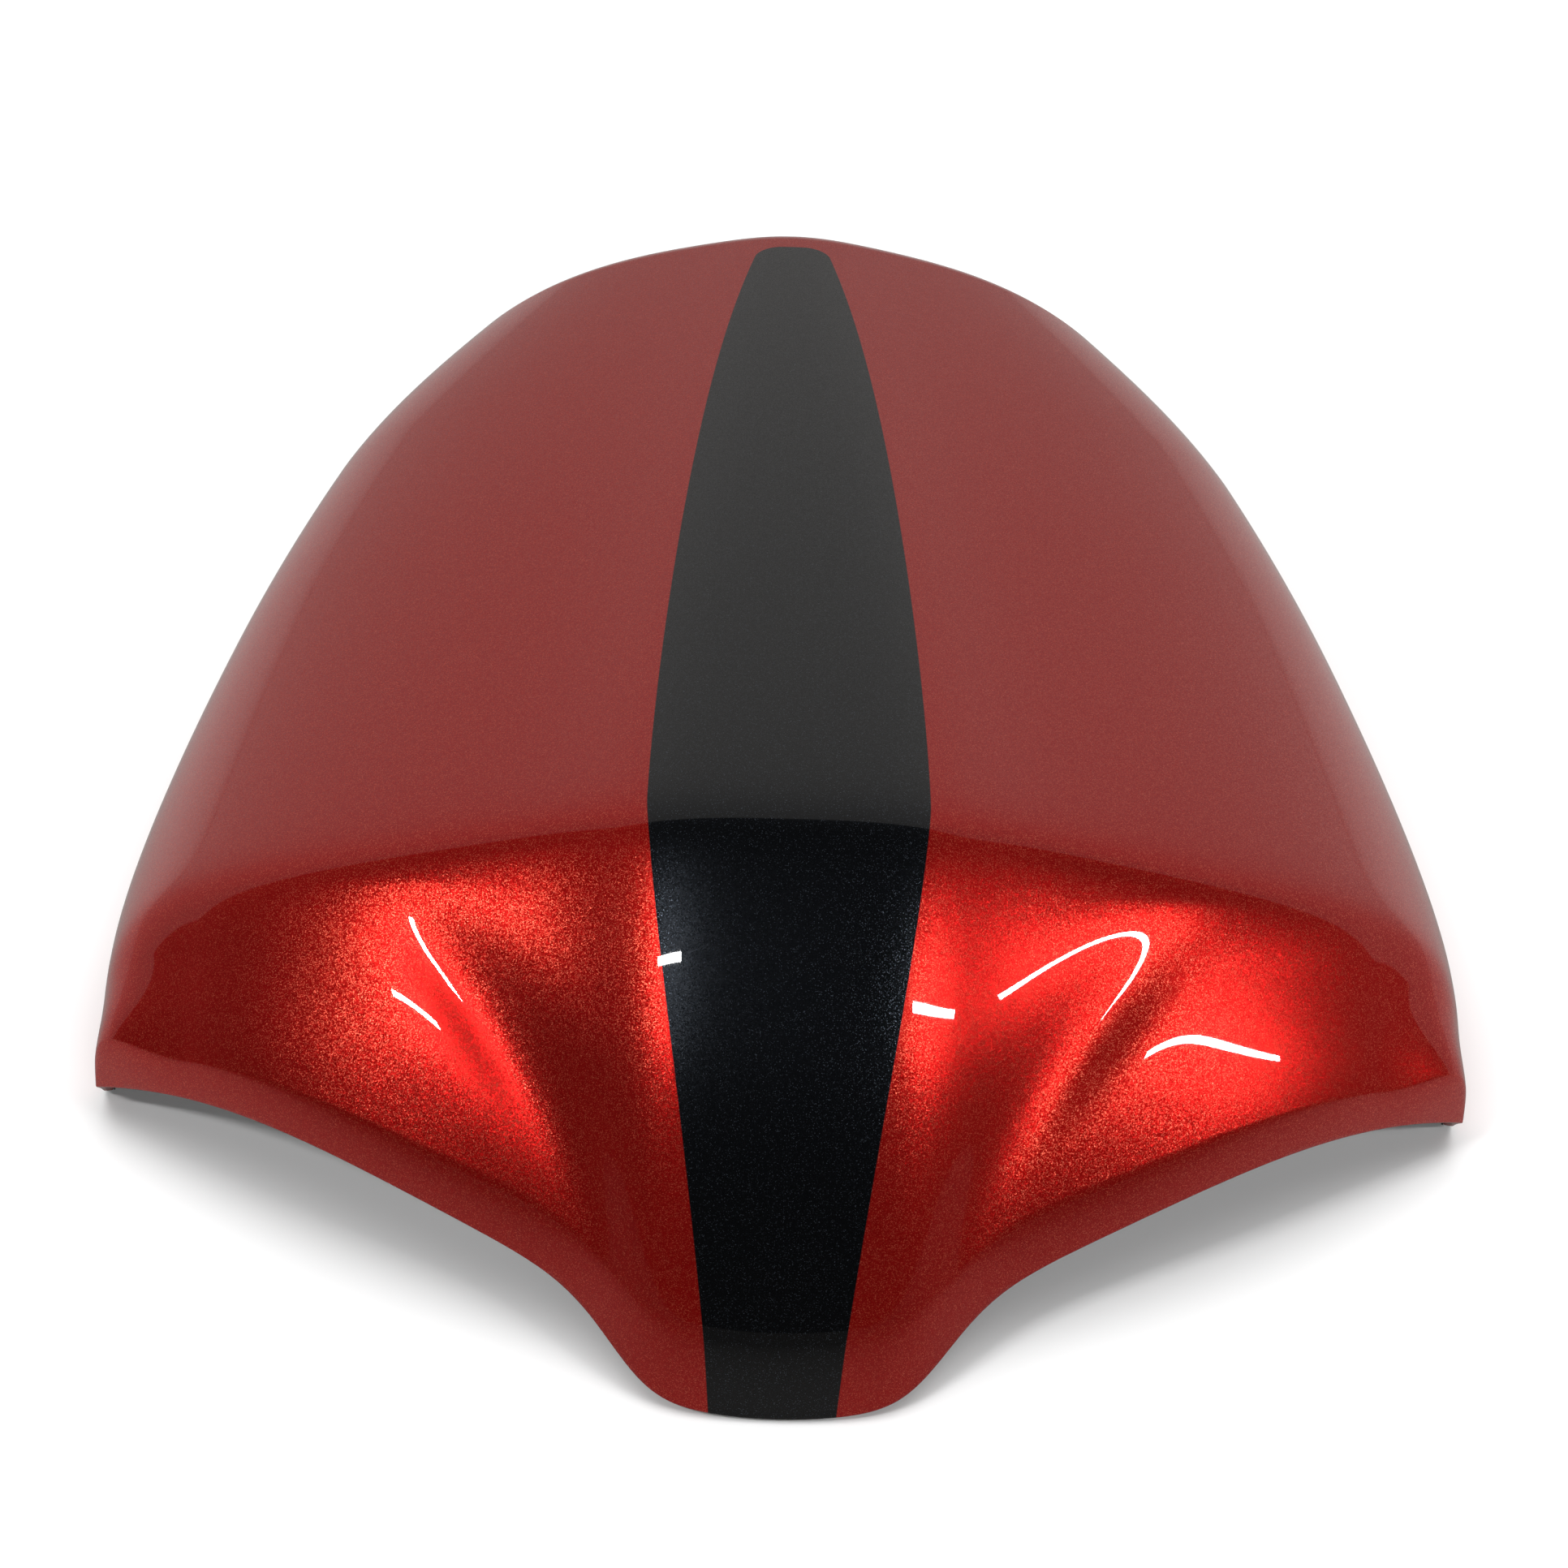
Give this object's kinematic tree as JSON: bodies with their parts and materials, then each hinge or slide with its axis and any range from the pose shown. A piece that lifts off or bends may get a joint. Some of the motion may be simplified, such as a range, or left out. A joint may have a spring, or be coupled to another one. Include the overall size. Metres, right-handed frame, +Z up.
{
  "type": "motorcycle rear seat cowl",
  "caption": "Painted seat cowl with a raised centre spine, stripe and swept tail, on an under-pan with striker, hooks, buffers, seals and push clips.",
  "frame": {"origin": "middle of the width and length, on the ground plane the rim stands on", "axes": "+X to the right, +Y to the tail, +Z up"},
  "size_m": [0.379, 0.4822, 0.1233],
  "materials": {
    "painted_shell": "candy red metallic under clear coat, with a black metallic centre stripe",
    "pan_plastic": "fine grained moulded black",
    "clip_plastic": "smooth moulded black",
    "brass": "machined, knurled",
    "zinc_steel": "zinc plated",
    "black_steel": "black powder coat",
    "aluminium_rivet": "bright",
    "rubber": "matt",
    "foam": "open textured closed-cell foam"
  },
  "bodies": {
    "cowl": {"cowl_shell": "painted_shell", "base_pan": "pan_plastic", "boss_inserts": "brass", "pan_washers": "zinc_steel", "pan_screws": "zinc_steel", "striker_plate": "black_steel", "striker_loop": "zinc_steel", "striker_bolts": "zinc_steel", "striker_nuts": "zinc_steel", "hook_plate": "black_steel", "hook_rivets": "aluminium_rivet", "buffer_front_left": "rubber", "buffer_front_right": "rubber", "buffer_side_left": "rubber", "buffer_side_right": "rubber", "buffer_tail": "rubber", "grommet_left": "rubber", "grommet_right": "rubber", "collar_left": "zinc_steel", "collar_right": "zinc_steel", "foam_pad_left": "foam", "foam_pad_right": "foam", "edge_seal_left": "rubber", "edge_seal_right": "rubber", "edge_seal_tail": "rubber", "clip_body_1": "clip_plastic", "clip_body_2": "clip_plastic", "clip_body_3": "clip_plastic", "clip_body_4": "clip_plastic"},
    "pin_1": {"clip_pin_1": "clip_plastic"},
    "pin_2": {"clip_pin_2": "clip_plastic"},
    "pin_3": {"clip_pin_3": "clip_plastic"},
    "pin_4": {"clip_pin_4": "clip_plastic"}
  },
  "joints": [
    {"name": "clip_1_release", "type": "slide", "parent": "cowl", "child": "pin_1", "axis": [0, 0, -1], "range_m": [0, 0.006]},
    {"name": "clip_2_release", "type": "slide", "parent": "cowl", "child": "pin_2", "axis": [0, 0, -1], "range_m": [0, 0.006]},
    {"name": "clip_3_release", "type": "slide", "parent": "cowl", "child": "pin_3", "axis": [0, 0, -1], "range_m": [0, 0.006]},
    {"name": "clip_4_release", "type": "slide", "parent": "cowl", "child": "pin_4", "axis": [0, 0, -1], "range_m": [0, 0.006]}
  ]
}
